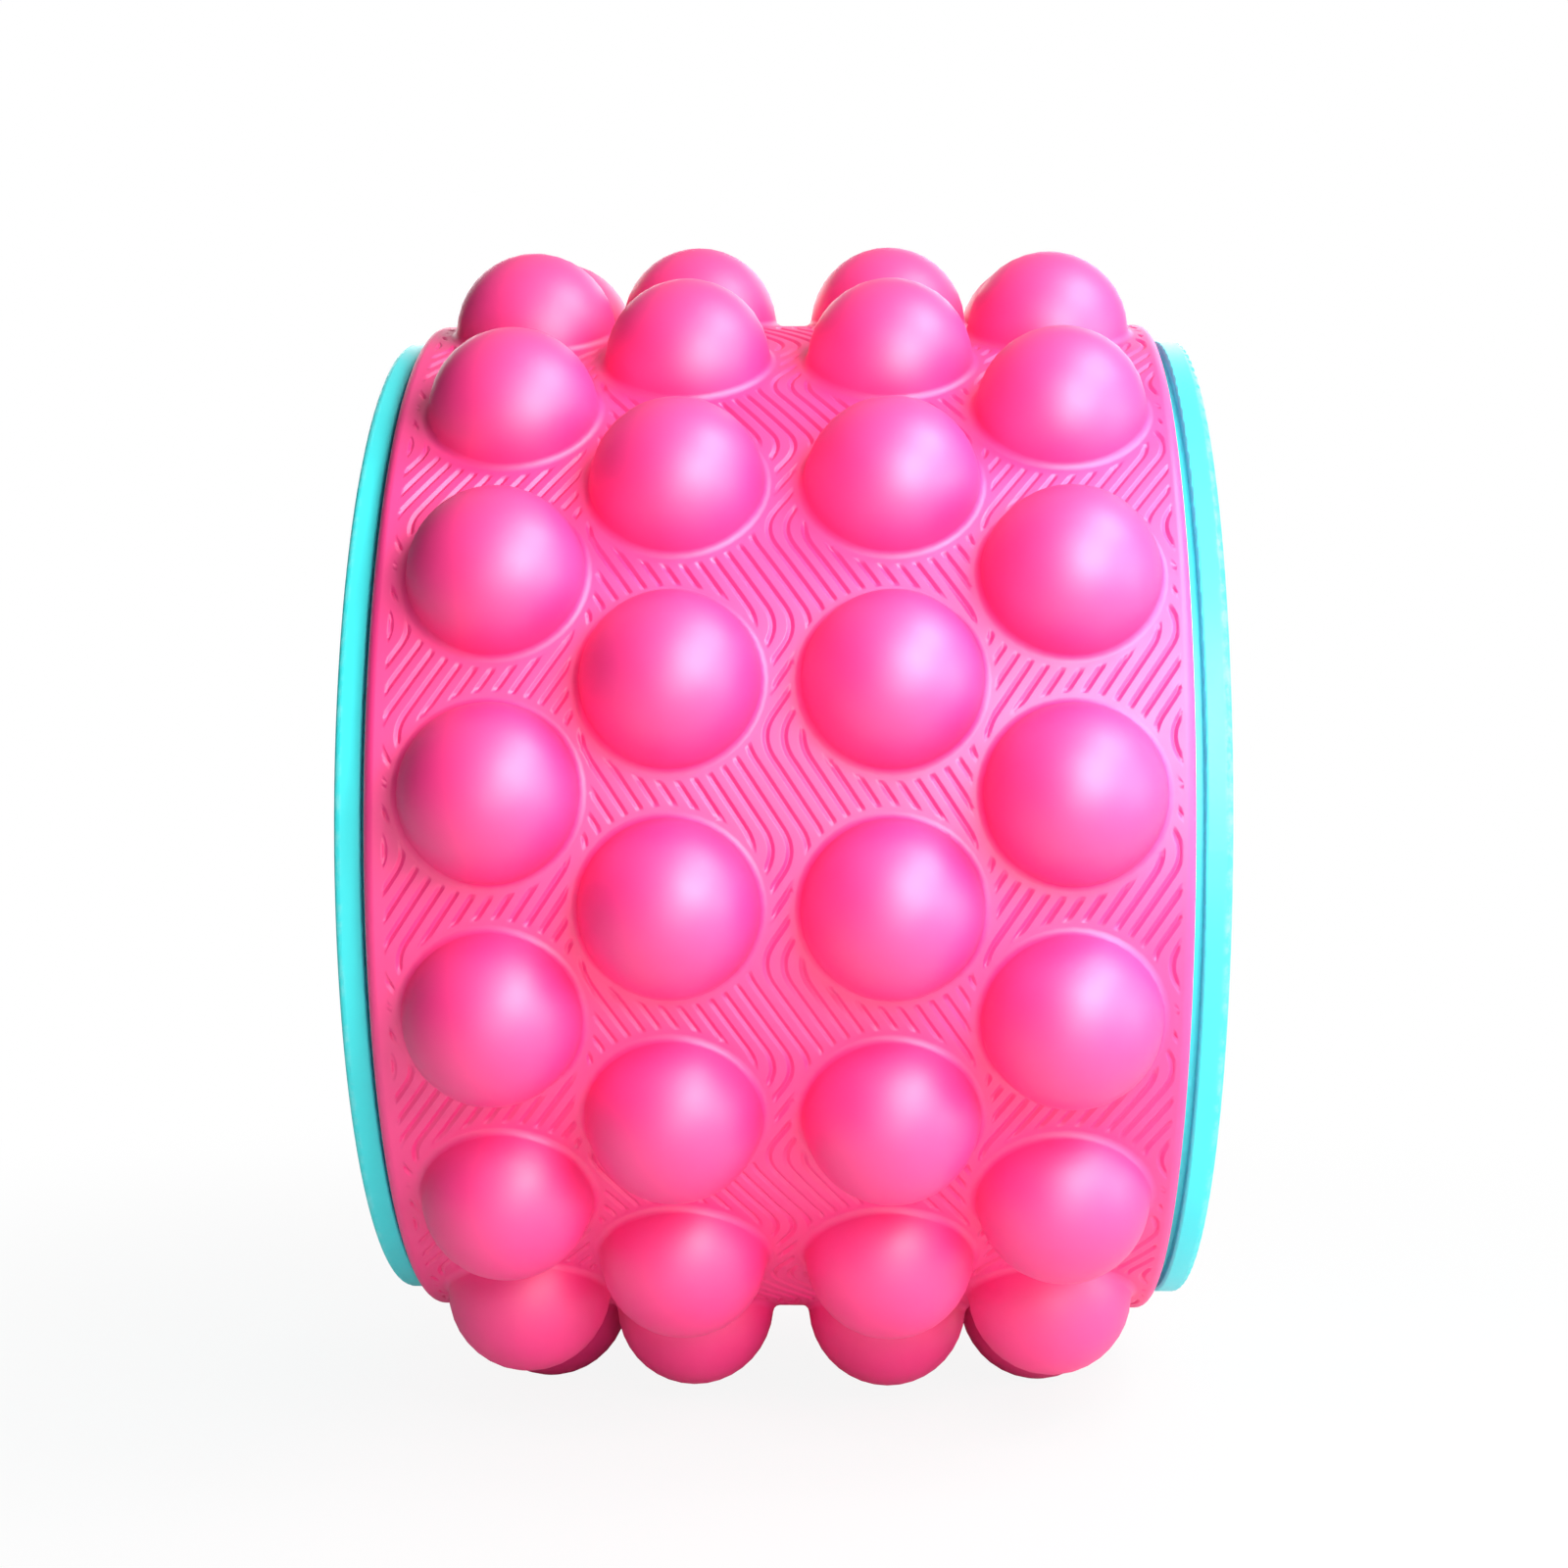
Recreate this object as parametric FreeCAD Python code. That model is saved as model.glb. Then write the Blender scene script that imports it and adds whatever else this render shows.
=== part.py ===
import FreeCAD, Part
import math
import os

# Massage yoga wheel: a foam sleeve with four rows of domes, bonded to a stiff core.
# The core is a ribbed drum and a smooth liner, held together by a rim at each end.
# Millimetres. The wheel's axis is Y, Z is up and the origin is the wheel's centre.

# Core
drum_diameter = 261.6
drum_wall = 3.5
liner_wall = 3.5
rib_height = 7.0
rib_thickness = 2.5
rib_count = 24
rib_clearance = 0.15
rib_end_clearance = 0.5

# Rims
rim_lip_height = 3.2
rim_width = 6.6
rim_face_wall = 3.0
rim_outer_rounding = 1.6
rim_inner_rounding = 0.7
bore_rounding = 3.0
tongue_length = 10.0
tongue_wall = 2.0
tongue_clearance = 0.15
tongue_lead_in = 0.8

# Sleeve, which is trimmed closer to the left rim than to the right one
sleeve_thickness = 7.5
sleeve_bond_line = 0.2
left_rim_gap = 1.1
right_rim_gap = 2.5
shoulder_rounding = 2.8

# Domes, with the gaps left between their feet and the border from the last foot to a rim
dome_radius = 21.5
dome_foot_rounding = 2.0
spine_gap = 5.8
gap_between_rows = 3.7
least_gap_in_row = 7.0
border_width = 7.65

# Radii from the axis
drum_radius = drum_diameter / 2
drum_inner_radius = drum_radius - drum_wall
liner_radius = drum_inner_radius - rib_height
bore_radius = liner_radius - liner_wall
rim_radius = drum_radius + rim_lip_height
sleeve_bore_radius = drum_radius + sleeve_bond_line
sleeve_radius = sleeve_bore_radius + sleeve_thickness

# Domes round the wheel: a row holds as many as fit, and the inner rows stand half a pitch
# round from the outer rows, so the wheel rests on four domes, a quarter of a pitch either
# side of its lowest line.
dome_foot_radius = math.sqrt(dome_radius ** 2 + 2 * dome_radius * dome_foot_rounding)
row_length = 2 * math.pi * sleeve_radius
domes_per_row = int(row_length / (2 * dome_foot_radius + least_gap_in_row))
dome_pitch = 360.0 / domes_per_row
outer_row_turn = dome_pitch / 4
inner_row_turn = -dome_pitch / 4

# Places along the axis, from the wheel's middle plane out
half_pitch_length = row_length / domes_per_row / 2
row_spacing = math.sqrt((2 * dome_foot_radius + gap_between_rows) ** 2 - half_pitch_length ** 2)
inner_row_place = dome_foot_radius + spine_gap / 2
outer_row_place = inner_row_place + row_spacing
core_end = outer_row_place + dome_foot_radius + border_width
sleeve_left_end = core_end - left_rim_gap
sleeve_right_end = core_end - right_rim_gap
rim_end = core_end + rim_width
tongue_end = core_end - tongue_length
rib_end = tongue_end - rib_end_clearance

ORIGIN = FreeCAD.Vector(0, 0, 0)
AXIS = FreeCAD.Vector(0, 1, 0)


def corner_points(before, corner, after, rounding):
    """Start, middle and end of the arc that rounds one corner of a profile."""
    to_before = (before - corner).normalize()
    to_after = (after - corner).normalize()
    half_angle = to_before.getAngle(to_after) / 2
    reach = rounding / math.tan(half_angle)
    middle = (to_before + to_after).normalize() * (rounding / math.sin(half_angle) - rounding)
    return corner + to_before * reach, corner + middle, corner + to_after * reach


def turned(corners):
    """Solid turned about the axis from a profile's corners: (radius, place along the axis, rounding)."""
    points = [FreeCAD.Vector(radius, place, 0) for radius, place, rounding in corners]
    count = len(corners)
    arcs = []
    for i in range(count):
        before = points[i - 1]
        after = points[(i + 1) % count]
        arcs.append(corner_points(before, points[i], after, corners[i][2]))
    edges = []
    for i in range(count):
        start, middle, end = arcs[i]
        next_start = arcs[(i + 1) % count][0]
        if corners[i][2] > 0:
            edges.append(Part.Arc(start, middle, end).toShape())
        edges.append(Part.makeLine(end, next_start))
    return Part.Face(Part.Wire(edges)).revolve(ORIGIN, AXIS, 360)


def plain_tube(inner_radius, outer_radius, end):
    """Tube about the axis, the same length to each side of the middle plane."""
    return turned([
        (inner_radius, -end, 0),
        (outer_radius, -end, 0),
        (outer_radius, end, 0),
        (inner_radius, end, 0),
    ])


def make_core_drum():
    """Outer wall of the core, with ribs along its inside that stop short of the rims' tongues."""
    drum = plain_tube(drum_inner_radius, drum_radius, core_end)
    rib_tip = liner_radius + rib_clearance
    rib_root = drum_radius - drum_wall / 2
    corner = FreeCAD.Vector(rib_tip, -rib_end, -rib_thickness / 2)
    rib = Part.makeBox(rib_root - rib_tip, 2 * rib_end, rib_thickness, corner)
    ribs = []
    for i in range(rib_count):
        ribs.append(rib.rotated(ORIGIN, AXIS, i * 360.0 / rib_count))
    return drum.fuse(ribs).removeSplitter()


def make_inner_liner():
    """Smooth inner wall of the core, which the hands hold."""
    return plain_tube(bore_radius, liner_radius, core_end)


def make_right_rim():
    """End rim: a rounded flange over both walls of the core, with a hollow tongue between them
    and a low lip that stands proud of the drum."""
    tongue_outer = drum_inner_radius - tongue_clearance
    tongue_inner = liner_radius + tongue_clearance
    channel_floor = rim_end - rim_face_wall
    return turned([
        (bore_radius, core_end, 0),
        (tongue_inner, core_end, 0),
        (tongue_inner, tongue_end + tongue_lead_in, 0),
        (tongue_inner + tongue_lead_in, tongue_end, 0),
        (tongue_inner + tongue_wall, tongue_end, 0),
        (tongue_inner + tongue_wall, channel_floor, 0),
        (tongue_outer - tongue_wall, channel_floor, 0),
        (tongue_outer - tongue_wall, tongue_end, 0),
        (tongue_outer - tongue_lead_in, tongue_end, 0),
        (tongue_outer, tongue_end + tongue_lead_in, 0),
        (tongue_outer, core_end, 0),
        (rim_radius, core_end, rim_inner_rounding),
        (rim_radius, rim_end, rim_outer_rounding),
        (bore_radius, rim_end, bore_rounding),
    ])


def make_left_rim():
    """The same moulding, turned to face the other way."""
    return make_right_rim().rotated(ORIGIN, FreeCAD.Vector(0, 0, 1), 180)


def make_dome(place, turn):
    """Ball whose middle lies on the sleeve's surface, with its pole at the dome's tip."""
    angle = math.radians(turn)
    outward = FreeCAD.Vector(math.cos(angle), 0, math.sin(angle))
    centre = outward * sleeve_radius + AXIS * place
    return Part.makeSphere(dome_radius, centre, outward)


def make_domes():
    """Four rows of domes: an outer row near each end and an inner row each side of the middle."""
    rows = [
        (-outer_row_place, outer_row_turn),
        (-inner_row_place, inner_row_turn),
        (inner_row_place, inner_row_turn),
        (outer_row_place, outer_row_turn),
    ]
    domes = []
    for place, first_turn in rows:
        for i in range(domes_per_row):
            domes.append(make_dome(place, first_turn + i * dome_pitch))
    return domes


def is_dome_foot(edge):
    """A dome meets the barrel in a free-form curve, the only one here; a dome's tip has no curve."""
    return not edge.Degenerated and isinstance(edge.Curve, Part.BSplineCurve)


def make_massage_sleeve():
    """Foam sleeve with rounded shoulders and half-round domes that blend into it at the foot."""
    barrel = turned([
        (0, -sleeve_left_end, 0),
        (sleeve_radius, -sleeve_left_end, shoulder_rounding),
        (sleeve_radius, sleeve_right_end, shoulder_rounding),
        (0, sleeve_right_end, 0),
    ])
    studded = barrel.fuse(make_domes())
    feet = [edge for edge in studded.Edges if is_dome_foot(edge)]
    blended = studded.makeFillet(dome_foot_rounding, feet)
    sleeve_length = sleeve_left_end + sleeve_right_end
    bore = Part.makeCylinder(sleeve_bore_radius, sleeve_length, AXIS * -sleeve_left_end, AXIS)
    return blended.cut(bore)


os.makedirs("parts", exist_ok=True)
make_core_drum().exportStep("parts/core_drum.step")
make_inner_liner().exportStep("parts/inner_liner.step")
make_left_rim().exportStep("parts/left_rim.step")
make_right_rim().exportStep("parts/right_rim.step")
make_massage_sleeve().exportStep("parts/massage_sleeve.step")
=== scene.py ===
import math

import bmesh
import bpy
import numpy as np
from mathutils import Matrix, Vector
from mathutils.geometry import delaunay_2d_cdt


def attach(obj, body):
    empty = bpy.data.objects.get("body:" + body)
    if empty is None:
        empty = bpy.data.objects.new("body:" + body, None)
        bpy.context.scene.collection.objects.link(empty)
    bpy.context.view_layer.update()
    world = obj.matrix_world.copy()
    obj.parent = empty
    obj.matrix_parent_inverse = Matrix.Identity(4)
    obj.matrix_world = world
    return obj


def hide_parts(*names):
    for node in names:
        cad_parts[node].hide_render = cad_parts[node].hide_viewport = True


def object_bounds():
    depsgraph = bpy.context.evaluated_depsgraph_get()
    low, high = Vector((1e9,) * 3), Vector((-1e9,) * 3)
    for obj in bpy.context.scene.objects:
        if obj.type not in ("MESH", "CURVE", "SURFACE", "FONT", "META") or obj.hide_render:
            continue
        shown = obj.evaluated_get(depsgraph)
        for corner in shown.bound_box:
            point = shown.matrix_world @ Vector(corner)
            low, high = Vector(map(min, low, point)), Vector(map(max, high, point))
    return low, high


# Massage yoga wheel: the looks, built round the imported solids.
# The wheel's axis is Y, Z is up, and the face that the picture shows looks along +X.
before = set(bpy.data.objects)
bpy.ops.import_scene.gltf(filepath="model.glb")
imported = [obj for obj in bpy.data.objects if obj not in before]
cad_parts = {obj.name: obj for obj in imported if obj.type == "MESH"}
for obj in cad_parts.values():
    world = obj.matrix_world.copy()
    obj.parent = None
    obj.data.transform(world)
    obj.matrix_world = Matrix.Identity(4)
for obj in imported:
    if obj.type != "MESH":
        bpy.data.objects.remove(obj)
cad_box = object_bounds()
scene = bpy.context.scene
scene.view_settings.view_transform = "Standard"

# Sleeve sizes in millimetres, the same as the solid's. The barrel is straight to flat_end, past
# which come the shoulder and the end face, and bore_corner breaks the edge of the bore.
MM = 0.001
sleeve_bore_radius = 131.0
sleeve_thickness = 7.5
left_rim_gap = 1.1
right_rim_gap = 2.5
shoulder_rounding = 2.8
flat_end = 94.4
bore_corner = 0.3
dome_radius = 21.5
dome_foot_rounding = 2.0
domes_per_row = 16
spine_gap = 5.8
gap_between_rows = 3.7
border_width = 7.65

# What follows from these sizes. Places along the axis are measured from the wheel's middle plane.
sleeve_radius = sleeve_bore_radius + sleeve_thickness
dome_pitch = 2 * math.pi * sleeve_radius / domes_per_row
dome_foot_radius = math.sqrt(dome_radius ** 2 + 2 * dome_radius * dome_foot_rounding)
row_spacing = math.sqrt((2 * dome_foot_radius + gap_between_rows) ** 2 - (dome_pitch / 2) ** 2)
inner_row_place = dome_foot_radius + spine_gap / 2
outer_row_place = inner_row_place + row_spacing
core_end = outer_row_place + dome_foot_radius + border_width
sleeve_left_end = core_end - left_rim_gap
sleeve_right_end = core_end - right_rim_gap

# One repeat of the sleeve is a dome pitch long round the barrel. The outer rows have a dome a
# quarter of a pitch on from the middle line, and the inner rows one three quarters on.
outer_dome_turn = dome_pitch / 4
inner_dome_turn = dome_pitch * 3 / 4
dome_rows = [
    (-outer_row_place, outer_dome_turn),
    (-inner_row_place, inner_dome_turn),
    (inner_row_place, inner_dome_turn),
    (outer_row_place, outer_dome_turn),
]

# Wavy grip grooves. Each swings to the right along an inner dome and back along an outer one.
# groove_edge is the rounding of a groove's bottom and lips, as a share of its half width.
groove_spacing = 4.35
first_groove = -0.8
groove_half_width = 0.9
groove_depth = 0.72
groove_edge = 0.15
wave_slope = 0.66
wave_straight_share = 0.15

# Where a groove has faded out and where it is fully cut: from a dome's middle, and along the axis
groove_foot_clearance = (24.0, 25.1)
groove_end_clearance = (94.2, 93.4)

# Lines of mesh points along each groove, in half widths from its middle: lips, flanks and bottom
groove_lines = (
    -1 - groove_edge,
    -1 + groove_edge,
    -groove_edge,
    groove_edge,
    1 - groove_edge,
    1 + groove_edge,
)

# Fineness of the mesh: points round one repeat, steps over a shoulder, points round and up a dome
groove_stations = 36
border_stations = 24
shoulder_steps = 6
foot_points = 40
foot_steps = 3
cap_steps = 9

# Seam between two repeats: its point spacing, and half its straight run between two domes
seam_step = 2.0
seam_neck_reach = 6.0

# Groove stations and grooves laid out past the edges of one repeat
spare_stations = 3
spare_grooves = 4

# Rounds of fitting, and small lengths in millimetres, apart from the weld's, which is in metres
foot_fit_rounds = 12
fade_fit_rounds = 10
slope_step = 0.02
point_tolerance = 1e-4
weld_distance = 1e-6


def smooth_step(low, high, value):
    """0 before low, 1 past high, with a soft start and end."""
    share = np.clip((value - low) / (high - low), 0, 1)
    return share * share * (3 - 2 * share)


def wave(s):
    """How far a groove has swung along the axis at a place s round the barrel, and its slope there."""
    share = (s - inner_dome_turn) / dome_pitch
    share = share - np.round(share)
    rising = np.abs(share) <= 0.25
    share = np.where(rising, share, np.sign(share) * 0.5 - share)
    bend_start = 2 * math.pi * wave_straight_share
    bend = 2 * math.pi * np.abs(share)
    bent = np.abs(share) > wave_straight_share
    past = (np.sin(bend) - math.sin(bend_start)) / (2 * math.pi * math.cos(bend_start))
    swing = np.where(bent, np.sign(share) * (wave_straight_share + past), share)
    slope = np.where(bent, np.cos(bend) / math.cos(bend_start), 1.0)
    return wave_slope * dome_pitch * swing, wave_slope * np.where(rising, slope, -slope)


def distance_to_dome(x, s):
    """Distance over the unrolled barrel to the nearest dome's middle."""
    nearest = np.full(np.shape(x), np.inf)
    for place, turn in dome_rows:
        round_way = np.mod(s - turn + dome_pitch / 2, dome_pitch) - dome_pitch / 2
        nearest = np.minimum(nearest, np.hypot(x - place, round_way))
    return nearest


def groove_strength(x, s):
    """1 where a groove is fully cut, fading to 0 short of a dome's foot and of the sleeve's ends."""
    at_foot = smooth_step(*groove_foot_clearance, distance_to_dome(x, s))
    at_end = smooth_step(*groove_end_clearance, np.abs(x))
    return at_foot * at_end


def groove_cut(x, s):
    """Depth of the grooves at a place on the unrolled barrel: a V with its bottom and lips rounded."""
    swing, slope = wave(s)
    off_line = np.mod(x - first_groove - swing + groove_spacing / 2, groove_spacing) - groove_spacing / 2
    across = np.minimum(np.abs(off_line) / np.hypot(1, slope) / groove_half_width, 1 + groove_edge)
    bottom = (across ** 2 + groove_edge ** 2) / (2 * groove_edge)
    lip = 1 - (1 + groove_edge - across) ** 2 / (4 * groove_edge)
    rise = np.where(across < groove_edge, bottom, np.where(across > 1 - groove_edge, lip, across))
    return groove_depth * (1 - rise) * groove_strength(x, s)


def skin_point(x, s):
    """Point on the grooved barrel, in metres: x along the axis from its middle, s round the barrel."""
    radius = sleeve_radius - groove_cut(x, s)
    turn = s / sleeve_radius
    return MM * np.stack([radius * np.cos(turn), x, radius * np.sin(turn)], axis=-1)


def skin_normal(x, s):
    """Outward direction of the skin, from two short steps across it."""
    along = skin_point(x + slope_step, s) - skin_point(x - slope_step, s)
    round_way = skin_point(x, s + slope_step) - skin_point(x, s - slope_step)
    normal = np.cross(along, round_way)
    return normal / np.linalg.norm(normal, axis=-1, keepdims=True)


def arc_between(start, end, steps):
    """Directions from one unit direction to another along the shortest turn."""
    angle = np.arccos(np.clip(np.sum(start * end, axis=-1, keepdims=True), -1, 1))
    rows = []
    for i in range(steps + 1):
        share = i / steps
        rows.append((np.sin((1 - share) * angle) * start + np.sin(share * angle) * end) / np.sin(angle))
    return rows


def dome_skin():
    """Rows of points and normals of one dome, foot to tip, in its own axes: along, round and out."""
    turn = np.arange(foot_points) * 2 * math.pi / foot_points
    out = np.full(foot_points, dome_foot_rounding)
    for i in range(foot_fit_rounds):
        reach = np.sqrt((dome_radius + dome_foot_rounding) ** 2 - out ** 2)
        side = reach * np.sin(turn)
        out = np.sqrt((sleeve_radius + dome_foot_rounding) ** 2 - side ** 2) - sleeve_radius
    blend_middle = np.stack([reach * np.cos(turn), reach * np.sin(turn), out], axis=-1)
    on_dome = blend_middle / np.linalg.norm(blend_middle, axis=-1, keepdims=True)
    on_barrel = np.stack([np.zeros(foot_points), blend_middle[:, 1], sleeve_radius + out], axis=-1)
    on_barrel = on_barrel / np.linalg.norm(on_barrel, axis=-1, keepdims=True)
    tip = np.broadcast_to(np.array([0.0, 0.0, 1.0]), on_dome.shape)
    points = []
    normals = []
    for normal in arc_between(on_barrel, on_dome, foot_steps):
        points.append(blend_middle - dome_foot_rounding * normal)
        normals.append(normal)
    for normal in arc_between(on_dome, tip, cap_steps)[1:]:
        points.append(dome_radius * normal)
        normals.append(normal)
    return points, normals


def dome_to_wheel(vectors, turn):
    """Directions or offsets from a dome's own axes to the wheel's, for a dome at that turn."""
    along = np.array([0.0, 1.0, 0.0])
    round_way = np.array([-math.sin(turn), 0.0, math.cos(turn)])
    out = np.array([math.cos(turn), 0.0, math.sin(turn)])
    return vectors @ np.array([along, round_way, out])


def joined(first, count, closed):
    """Edges that run along consecutive points from an index on, closing the loop if asked."""
    edges = [(first + i, first + i + 1) for i in range(count - 1)]
    if closed:
        edges.append((first + count - 1, first))
    return edges


def seam_line():
    """Line between the domes where one repeat of the sleeve meets the next: places along and round."""
    outer = np.array([-outer_row_place, outer_dome_turn])
    inner = np.array([-inner_row_place, inner_dome_turn])
    middle = (outer + inner) / 2
    between = (inner - outer) / np.linalg.norm(inner - outer)
    along_neck = np.array([between[1], -between[0]]) * seam_neck_reach
    left_half = [
        np.array([-flat_end, inner_dome_turn]),
        np.array([-outer_row_place, inner_dome_turn]),
        middle - along_neck,
        middle + along_neck,
        np.array([-inner_row_place, outer_dome_turn]),
    ]
    right_half = [point * np.array([-1.0, 1.0]) for point in reversed(left_half)]
    return np.array(left_half + right_half)


def faded_end(cut, bare):
    """Place between a cut and a bare point of a groove's line where the groove has just faded out."""
    for i in range(fade_fit_rounds):
        middle = (cut + bare) / 2
        if groove_strength(*middle) > 0:
            cut = middle
        else:
            bare = middle
    return bare


def groove_runs():
    """Runs of points along the grooves' lines over one repeat, cut where a groove fades out."""
    step = dome_pitch / groove_stations
    start = outer_dome_turn - spare_stations * step
    end = inner_dome_turn + dome_pitch + spare_stations * step
    stations = np.arange(start, end, step)
    swing, slope = wave(stations)
    grooves_each_way = int(flat_end / groove_spacing) + spare_grooves
    runs = []
    for i in range(-grooves_each_way, grooves_each_way + 1):
        for line in groove_lines:
            x = first_groove + i * groove_spacing + swing + line * groove_half_width * np.hypot(1, slope)
            points = np.stack([x, stations], axis=-1)
            cut = groove_strength(x, stations) > 0
            run = []
            for before in range(len(points) - 1):
                after = before + 1
                if cut[before]:
                    run.append(points[before])
                if cut[after] and not cut[before]:
                    run.append(faded_end(points[after], points[before]))
                if cut[before] and not cut[after]:
                    run.append(faded_end(points[before], points[after]))
                    runs.append(run)
                    run = []
            if run:
                runs.append(run)
    return runs


def barrel_repeat(foot):
    """One repeat of the grooved barrel with holes for its four domes: flat points and triangles."""
    points = []
    edges = []
    ring_of_point = {}

    def add_run(run, closed=False):
        first = len(points)
        points.extend(Vector(point) for point in run)
        edges.extend(joined(first, len(run), closed))
        return range(first, len(points))

    seam = seam_line()
    pieces = int(np.ptp(seam[:, 0]) / seam_step)
    places = np.unique(np.concatenate([np.linspace(-flat_end, flat_end, pieces), seam[:, 0]]))
    turns = np.interp(places, seam[:, 0], seam[:, 1])
    add_run(list(zip(places, turns)))
    add_run(list(zip(places, turns + dome_pitch)))
    border_turns = inner_dome_turn + np.arange(border_stations + 1) * dome_pitch / border_stations
    for place in (-flat_end, flat_end):
        add_run([(place, turn) for turn in border_turns])
    for ring, (place, turn) in enumerate(dome_rows):
        middle_turn = turn if turn == inner_dome_turn else turn + dome_pitch
        added = add_run([(place + x, middle_turn + s) for x, s in foot], closed=True)
        for i in added:
            ring_of_point[i] = ring
    for run in groove_runs():
        add_run(run)

    whole_outline = 0  # triangles over all the points, with the holes still filled
    meshed = delaunay_2d_cdt(points, edges, [], whole_outline, point_tolerance)
    meshed_points, _, triangles, sources, _, _ = meshed
    flat = np.array([(point.x, point.y) for point in meshed_points])
    rings = []
    for source in sources:
        found = [ring_of_point[i] for i in source if i in ring_of_point]
        rings.append(found[0] if found else None)
    kept = []
    for triangle in triangles:
        in_dome = rings[triangle[0]] is not None and len({rings[i] for i in triangle}) == 1
        x, s = flat[list(triangle)].mean(axis=0)
        start = np.interp(x, seam[:, 0], seam[:, 1])
        if not in_dome and abs(x) < flat_end and start < s < start + dome_pitch:
            kept.append(tuple(triangle))
    return flat, kept


def banded(rows, columns):
    """Quads between rows of points that each close round on themselves."""
    quads = []
    for row in range(rows - 1):
        below = row * columns
        above = below + columns
        for i in range(columns):
            after = (i + 1) % columns
            quads.append((below + i, below + after, above + after, above + i))
    return quads


def end_profile(end):
    """Rest of the sleeve's outline past one border: shoulder, end face and bore corner, with normals."""
    outline = [(sleeve_radius, flat_end, 1.0, 0.0)]
    for i in range(shoulder_steps + 1):
        turn = i * math.pi / 2 / shoulder_steps
        out = math.cos(turn)
        along = math.sin(turn)
        radius = sleeve_radius - shoulder_rounding * (1 - out)
        outline.append((radius, end - shoulder_rounding * (1 - along), out, along))
    outline.append((sleeve_bore_radius + bore_corner, end, 0.0, 1.0))
    outline.append((sleeve_bore_radius, end - bore_corner, -1.0, 0.0))
    return outline


def ends_and_bore():
    """Band of points, normals and quads from one border round the ends and the bore to the other."""
    right = end_profile(sleeve_right_end)
    left = end_profile(sleeve_left_end)
    left = [(radius, -place, out, -along) for radius, place, out, along in reversed(left)]
    columns = domes_per_row * border_stations
    turns = (inner_dome_turn + np.arange(columns) * dome_pitch / border_stations) / sleeve_radius
    points = []
    normals = []
    for radius, place, out, along in right + left:
        level = np.ones(columns)
        points.append(np.stack([radius * np.cos(turns), place * level, radius * np.sin(turns)], axis=-1))
        normals.append(np.stack([out * np.cos(turns), along * level, out * np.sin(turns)], axis=-1))
    return MM * np.concatenate(points), np.concatenate(normals), banded(len(points), columns)


def welded_piece(name, patches):
    """Object from patches of points, normals and faces, welded where their points meet."""
    points = []
    normals = []
    faces = []
    for patch_points, patch_normals, patch_faces in patches:
        first = len(points)
        points.extend(patch_points)
        normals.extend(patch_normals)
        faces.extend(tuple(first + i for i in face) for face in patch_faces)
    mesh = bpy.data.meshes.new(name)
    mesh.from_pydata(points, [], faces)
    facing = mesh.attributes.new("facing", "FLOAT_VECTOR", "POINT")
    facing.data.foreach_set("vector", np.array(normals).ravel())
    shape = bmesh.new()
    shape.from_mesh(mesh)
    bmesh.ops.remove_doubles(shape, verts=shape.verts, dist=weld_distance)
    bmesh.ops.recalc_face_normals(shape, faces=shape.faces)
    shape.to_mesh(mesh)
    shape.free()
    welded = np.empty(3 * len(mesh.vertices), np.float32)
    mesh.attributes["facing"].data.foreach_get("vector", welded)
    mesh.attributes.remove(mesh.attributes["facing"])
    mesh.shade_smooth()
    mesh.normals_split_custom_set_from_vertices(welded.reshape(-1, 3))
    piece = bpy.data.objects.new(name, mesh)
    scene.collection.objects.link(piece)
    return piece


def make_massage_skin():
    """The foam sleeve's skin: grooved barrel, 64 blended domes, rounded ends and bore."""
    rows, row_normals = dome_skin()
    foot_round = sleeve_radius * np.arctan2(rows[0][:, 1], sleeve_radius + rows[0][:, 2])
    flat, triangles = barrel_repeat(list(zip(rows[0][:, 0], foot_round)))
    patches = [ends_and_bore()]
    for i in range(domes_per_row):
        x = flat[:, 0]
        s = flat[:, 1] + i * dome_pitch
        patches.append((skin_point(x, s), skin_normal(x, s), triangles))
    dome_points = np.concatenate(rows)
    dome_normals = np.concatenate(row_normals)
    dome_faces = banded(len(rows), foot_points)
    for place, first_turn in dome_rows:
        for i in range(domes_per_row):
            turn = (first_turn + i * dome_pitch) / sleeve_radius
            middle = np.array([sleeve_radius * math.cos(turn), place, sleeve_radius * math.sin(turn)])
            patches.append((
                MM * (middle + dome_to_wheel(dome_points, turn)),
                dome_to_wheel(dome_normals, turn),
                dome_faces,
            ))
    skin = welded_piece("massage_sleeve_skin", patches)
    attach(skin, "root")
    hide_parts("massage_sleeve")
    return skin


def linear(hex_colour):
    """Linear colour with full alpha from an sRGB hex value."""
    channels = [int(hex_colour[i:i + 2], 16) / 255 for i in (1, 3, 5)]
    straight = [c / 12.92 if c <= 0.04045 else ((c + 0.055) / 1.055) ** 2.4 for c in channels]
    return (*straight, 1.0)


def add_node(tree, kind, inputs, **settings):
    """Node of a kind with its settings, its inputs set to a value or linked to an output."""
    node = tree.nodes.new(kind)
    for name, value in settings.items():
        setattr(node, name, value)
    for name, value in inputs.items():
        if isinstance(value, bpy.types.NodeSocket):
            tree.links.new(value, node.inputs[name])
        else:
            node.inputs[name].default_value = value
    return node


def new_tree(name):
    """Empty node tree of a new material."""
    material = bpy.data.materials.new(name)
    material.use_nodes = True
    material.node_tree.nodes.clear()
    return material, material.node_tree


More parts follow.
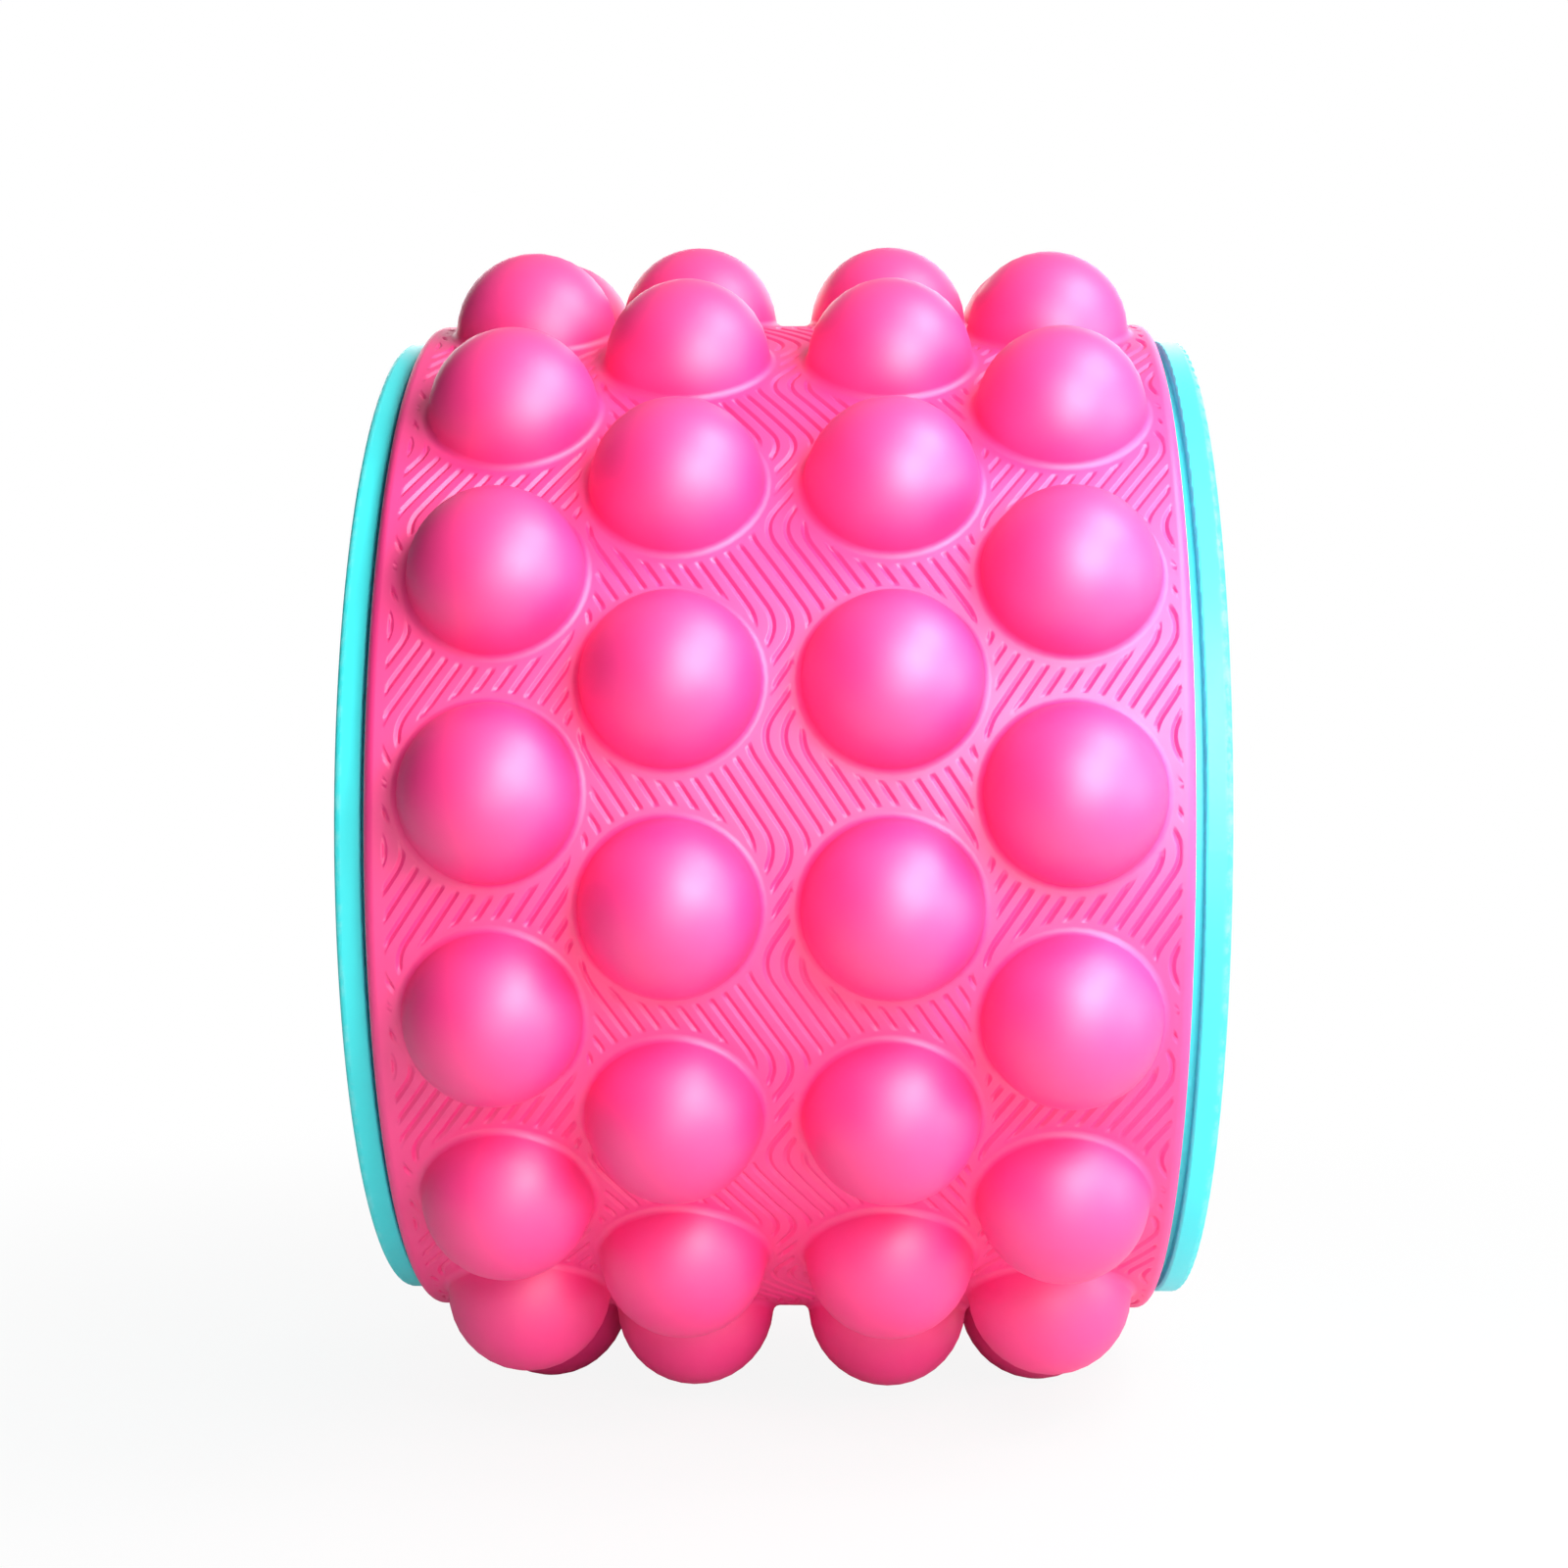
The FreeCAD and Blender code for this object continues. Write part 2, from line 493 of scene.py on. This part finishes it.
def moulded_eva_foam():
    """Closed-cell EVA foam, pressed in a hot mould.
    The mould leaves a smooth, satin skin: a broad soft highlight, colour that clouds very slightly
    where the foam cooled unevenly, and a faint pebble that only shows where light grazes it. The
    domes are smoother than the grooved skin between them, and use polishes their tips."""
    cloud_size = 30 * MM
    sheen_size = 12 * MM
    pebble_size = 1.1 * MM  # real cells are about 0.2 mm: drawn coarser, so that they show
    pebble_depth = 0.01 * MM
    dome_foot = sleeve_radius * MM  # distances from the wheel's axis
    dome_tip = (sleeve_radius + dome_radius) * MM
    material, tree = new_tree("moulded_eva_foam")
    place = add_node(tree, "ShaderNodeTexCoord", {}).outputs["Object"]
    cloud = add_node(tree, "ShaderNodeTexNoise",
                     {"Vector": place, "Scale": 1 / cloud_size, "Detail": 3.0, "Roughness": 0.55})
    colour = add_node(tree, "ShaderNodeValToRGB", {"Fac": cloud.outputs["Fac"]})
    colour.color_ramp.elements[0].position = 0.3
    colour.color_ramp.elements[0].color = linear("#FA2985")
    colour.color_ramp.elements[1].position = 0.7
    colour.color_ramp.elements[1].color = linear("#FD2D8A")
    patchy = add_node(tree, "ShaderNodeTexNoise",
                      {"Vector": place, "Scale": 1 / sheen_size, "Detail": 4.0, "Roughness": 0.6})
    satin = add_node(tree, "ShaderNodeMapRange",
                     {"Value": patchy.outputs["Fac"], "From Min": 0.3, "From Max": 0.7,
                      "To Min": 0.52, "To Max": 0.58})
    off_axis = add_node(tree, "ShaderNodeVectorMath", {0: place, 1: (1.0, 0.0, 1.0)},
                        operation="MULTIPLY")
    reach = add_node(tree, "ShaderNodeVectorMath", {0: off_axis.outputs["Vector"]}, operation="LENGTH")
    polish = add_node(tree, "ShaderNodeMapRange",
                      {"Value": reach.outputs["Value"], "From Min": dome_foot, "From Max": dome_tip,
                       "To Min": 0.0, "To Max": 0.02}, interpolation_type="SMOOTHSTEP")
    roughness = add_node(tree, "ShaderNodeMath",
                         {0: satin.outputs["Result"], 1: polish.outputs["Result"]}, operation="SUBTRACT")
    pebble = add_node(tree, "ShaderNodeTexNoise",
                      {"Vector": place, "Scale": 1 / pebble_size, "Detail": 2.0, "Roughness": 0.5})
    bump = add_node(tree, "ShaderNodeBump",
                    {"Height": pebble.outputs["Fac"], "Strength": 1.0, "Distance": pebble_depth})
    shader = add_node(tree, "ShaderNodeBsdfPrincipled",
                      {"Base Color": colour.outputs["Color"], "Roughness": roughness.outputs["Value"],
                       "Normal": bump.outputs["Normal"], "IOR": 1.6, "Specular IOR Level": 1.0})
    add_node(tree, "ShaderNodeOutputMaterial", {"Surface": shader.outputs["BSDF"]})
    return material


def moulded_abs():
    """ABS, injection moulded in an eroded mould.
    Even, opaque colour with a fine dull grain, so its highlights are soft and slightly broken up.
    The outer edges, on which the wheel is laid down, carry faint pale scuffs."""
    cloud_size = 45 * MM
    grain_size = 0.9 * MM  # real grain is about 0.1 mm: drawn coarser, so that it shows
    grain_depth = 0.012 * MM
    scuff_size = 5 * MM
    scuffs_from = 238.2 * MM  # distances from the axis and from the middle plane, added up:
    scuffs_to = 239.4 * MM  # the sum is largest at a rim's outer corner
    material, tree = new_tree("moulded_abs")
    place = add_node(tree, "ShaderNodeTexCoord", {}).outputs["Object"]
    cloud = add_node(tree, "ShaderNodeTexNoise",
                     {"Vector": place, "Scale": 1 / cloud_size, "Detail": 3.0, "Roughness": 0.5})
    colour = add_node(tree, "ShaderNodeValToRGB", {"Fac": cloud.outputs["Fac"]})
    colour.color_ramp.elements[0].position = 0.3
    colour.color_ramp.elements[0].color = linear("#3CE9EC")
    colour.color_ramp.elements[1].position = 0.7
    colour.color_ramp.elements[1].color = linear("#43F0F2")
    grain = add_node(tree, "ShaderNodeTexNoise",
                     {"Vector": place, "Scale": 1 / grain_size, "Detail": 2.0, "Roughness": 0.6})
    dull = add_node(tree, "ShaderNodeMapRange",
                    {"Value": grain.outputs["Fac"], "From Min": 0.3, "From Max": 0.7,
                     "To Min": 0.38, "To Max": 0.46})
    along = add_node(tree, "ShaderNodeSeparateXYZ", {"Vector": place})
    outward = add_node(tree, "ShaderNodeMath", {0: along.outputs["Y"]}, operation="ABSOLUTE")
    off_axis = add_node(tree, "ShaderNodeVectorMath", {0: place, 1: (1.0, 0.0, 1.0)},
                        operation="MULTIPLY")
    reach = add_node(tree, "ShaderNodeVectorMath", {0: off_axis.outputs["Vector"]}, operation="LENGTH")
    corner = add_node(tree, "ShaderNodeMath",
                      {0: outward.outputs["Value"], 1: reach.outputs["Value"]}, operation="ADD")
    edge = add_node(tree, "ShaderNodeMapRange",
                    {"Value": corner.outputs["Value"], "From Min": scuffs_from, "From Max": scuffs_to},
                    interpolation_type="SMOOTHSTEP")
    rubbed = add_node(tree, "ShaderNodeTexNoise",
                      {"Vector": place, "Scale": 1 / scuff_size, "Detail": 6.0, "Roughness": 0.7})
    patches = add_node(tree, "ShaderNodeMapRange",
                       {"Value": rubbed.outputs["Fac"], "From Min": 0.45, "From Max": 0.65,
                        "To Min": 0.0, "To Max": 0.45})
    scuffs = add_node(tree, "ShaderNodeMath",
                      {0: edge.outputs["Result"], 1: patches.outputs["Result"]}, operation="MULTIPLY")
    clean_side, worn_side, mixed_colour = 6, 7, 2  # the mix node's colour sockets
    worn = add_node(tree, "ShaderNodeMix",
                    {"Factor": scuffs.outputs["Value"], clean_side: colour.outputs["Color"],
                     worn_side: linear("#9AF4F5")}, data_type="RGBA")
    roughness = add_node(tree, "ShaderNodeMath",
                         {0: scuffs.outputs["Value"], 1: 0.3, 2: dull.outputs["Result"]},
                         operation="MULTIPLY_ADD")
    bump = add_node(tree, "ShaderNodeBump",
                    {"Height": grain.outputs["Fac"], "Strength": 1.0, "Distance": grain_depth})
    shader = add_node(tree, "ShaderNodeBsdfPrincipled",
                      {"Base Color": worn.outputs[mixed_colour], "Roughness": roughness.outputs["Value"],
                       "Normal": bump.outputs["Normal"], "IOR": 1.53})
    add_node(tree, "ShaderNodeOutputMaterial", {"Surface": shader.outputs["BSDF"]})
    return material


def studio_paper():
    """White studio paper: seen nearly plain white, with the wheel's shadow lying faintly on it.
    The foam and the plastic mirror it as the lamps light it."""
    shadow_from = 0.2  # distances from the wheel's middle, in metres, between which its shadow fades
    shadow_to = 0.5
    material, tree = new_tree("studio_paper")
    seen = add_node(tree, "ShaderNodeLightPath", {}).outputs["Is Camera Ray"]
    place = add_node(tree, "ShaderNodeTexCoord", {}).outputs["Object"]
    away = add_node(tree, "ShaderNodeVectorMath", {0: place}, operation="LENGTH")
    share = add_node(tree, "ShaderNodeMapRange",
                     {"Value": away.outputs["Value"], "From Min": shadow_from, "From Max": shadow_to,
                      "To Min": 0.9, "To Max": 1.0}, interpolation_type="SMOOTHSTEP")
    plain = add_node(tree, "ShaderNodeMath", {0: seen, 1: share.outputs["Result"]}, operation="MULTIPLY")
    lit = add_node(tree, "ShaderNodeBsdfDiffuse", {"Color": linear("#D4D4D4")})
    paper = add_node(tree, "ShaderNodeEmission", {"Color": linear("#FFFFFF"), "Strength": 1.0})
    mixed = add_node(tree, "ShaderNodeMixShader",
                     {"Fac": plain.outputs["Value"], 1: lit.outputs["BSDF"],
                      2: paper.outputs["Emission"]})
    add_node(tree, "ShaderNodeOutputMaterial", {"Surface": mixed.outputs["Shader"]})
    return material


def make_floor():
    """Paper floor that touches the wheel's lowest domes."""
    half = 6.0  # metres
    level = cad_box[0].z
    mesh = bpy.data.meshes.new("floor")
    corners = [(-half, -half, level), (half, -half, level), (half, half, level), (-half, half, level)]
    mesh.from_pydata(corners, [], [(0, 1, 2, 3)])
    mesh.materials.append(studio_paper())
    floor = bpy.data.objects.new("floor", mesh)
    scene.collection.objects.link(floor)


def light_world():
    """Dim studio, darker on the wheel's left. The backdrop is white, and so are the right wall and
    the ceiling for the rays that mirror them."""
    bright_side = (0.0, 0.75, 0.66)
    world = bpy.data.worlds.new("studio")
    world.use_nodes = True
    tree = world.node_tree
    tree.nodes.clear()
    path = add_node(tree, "ShaderNodeLightPath", {})
    seen = path.outputs["Is Camera Ray"]
    bent = add_node(tree, "ShaderNodeMath",
                    {0: path.outputs["Is Glossy Ray"], 1: path.outputs["Is Transmission Ray"]},
                    operation="MAXIMUM")
    way = add_node(tree, "ShaderNodeTexCoord", {}).outputs["Generated"]
    towards = add_node(tree, "ShaderNodeVectorMath", {0: way, 1: bright_side}, operation="DOT_PRODUCT")
    room = add_node(tree, "ShaderNodeMapRange",
                    {"Value": towards.outputs["Value"], "From Min": -0.7, "From Max": 0.4,
                     "To Min": 0.12, "To Max": 0.20}, interpolation_type="SMOOTHSTEP")
    walls = add_node(tree, "ShaderNodeMapRange",
                     {"Value": towards.outputs["Value"], "From Min": -0.35, "From Max": 0.75,
                      "To Min": 0.0, "To Max": 1.0}, interpolation_type="SMOOTHSTEP")
    unseen = add_node(tree, "ShaderNodeMix",
                      {"Factor": bent.outputs["Value"], "A": room.outputs["Result"],
                       "B": walls.outputs["Result"]})
    strength = add_node(tree, "ShaderNodeMix", {"Factor": seen, "A": unseen.outputs["Result"], "B": 1.0})
    studio = add_node(tree, "ShaderNodeBackground",
                      {"Color": linear("#FFFFFF"), "Strength": strength.outputs["Result"]})
    add_node(tree, "ShaderNodeOutputWorld", {"Surface": studio.outputs["Background"]})
    scene.world = world


def direction(right_degrees, up_degrees):
    """Unit direction from the wheel, turned to the right of its front and raised."""
    right = math.radians(right_degrees)
    up = math.radians(up_degrees)
    return Vector((math.cos(right) * math.cos(up), math.sin(right) * math.cos(up), math.sin(up)))


def add_softbox(name, right_degrees, up_degrees, distance, width, height, watts):
    """Rectangular soft lamp aimed at the wheel's middle."""
    lamp = bpy.data.lights.new(name, "AREA")
    lamp.shape = "RECTANGLE"
    lamp.size = width
    lamp.size_y = height
    lamp.energy = watts
    softbox = bpy.data.objects.new(name, lamp)
    towards = direction(right_degrees, up_degrees)
    softbox.location = towards * distance
    softbox.rotation_euler = towards.to_track_quat("Z", "Y").to_euler()
    scene.collection.objects.link(softbox)


def place_camera():
    """Camera where the picture was taken from: close, a little above the middle and to the right."""
    distance = 0.7475
    right_degrees = 1.36
    up_degrees = 3.6
    aim = Vector((0.0, -0.0031, 0.0088))
    lens = bpy.data.cameras.new("camera")
    lens.sensor_width = 36.0
    lens.lens = 59.6
    camera = bpy.data.objects.new("camera", lens)
    camera.location = direction(right_degrees, up_degrees) * distance
    camera.rotation_euler = (camera.location - aim).to_track_quat("Z", "Y").to_euler()
    scene.collection.objects.link(camera)
    scene.camera = camera


# Camera, studio and soft lamps: four on the near side, and two that light the wheel's far side
place_camera()
light_world()
add_softbox("key", right_degrees=23, up_degrees=21, distance=0.52, width=0.22, height=0.30, watts=2.2)
add_softbox("front", right_degrees=8, up_degrees=-2, distance=1.1, width=0.5, height=0.24, watts=2.2)
add_softbox("side", right_degrees=70, up_degrees=6, distance=1.0, width=0.6, height=0.4, watts=3.8)
add_softbox("top", right_degrees=60, up_degrees=48, distance=0.9, width=0.4, height=0.4, watts=5.6)
add_softbox("back", right_degrees=160, up_degrees=25, distance=1.2, width=0.6, height=0.6, watts=5.0)
add_softbox("back_left", right_degrees=-158, up_degrees=18, distance=1.2, width=0.6, height=0.6,
            watts=7.0)
make_floor()

# Foam skin in place of the sleeve's solid, and plastic on the solids that stay
skin = make_massage_skin()
skin.data.materials.append(moulded_eva_foam())
abs_plastic = moulded_abs()
for node in ("core_drum", "inner_liner", "left_rim", "right_rim"):
    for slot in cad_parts[node].material_slots:
        slot.material = abs_plastic
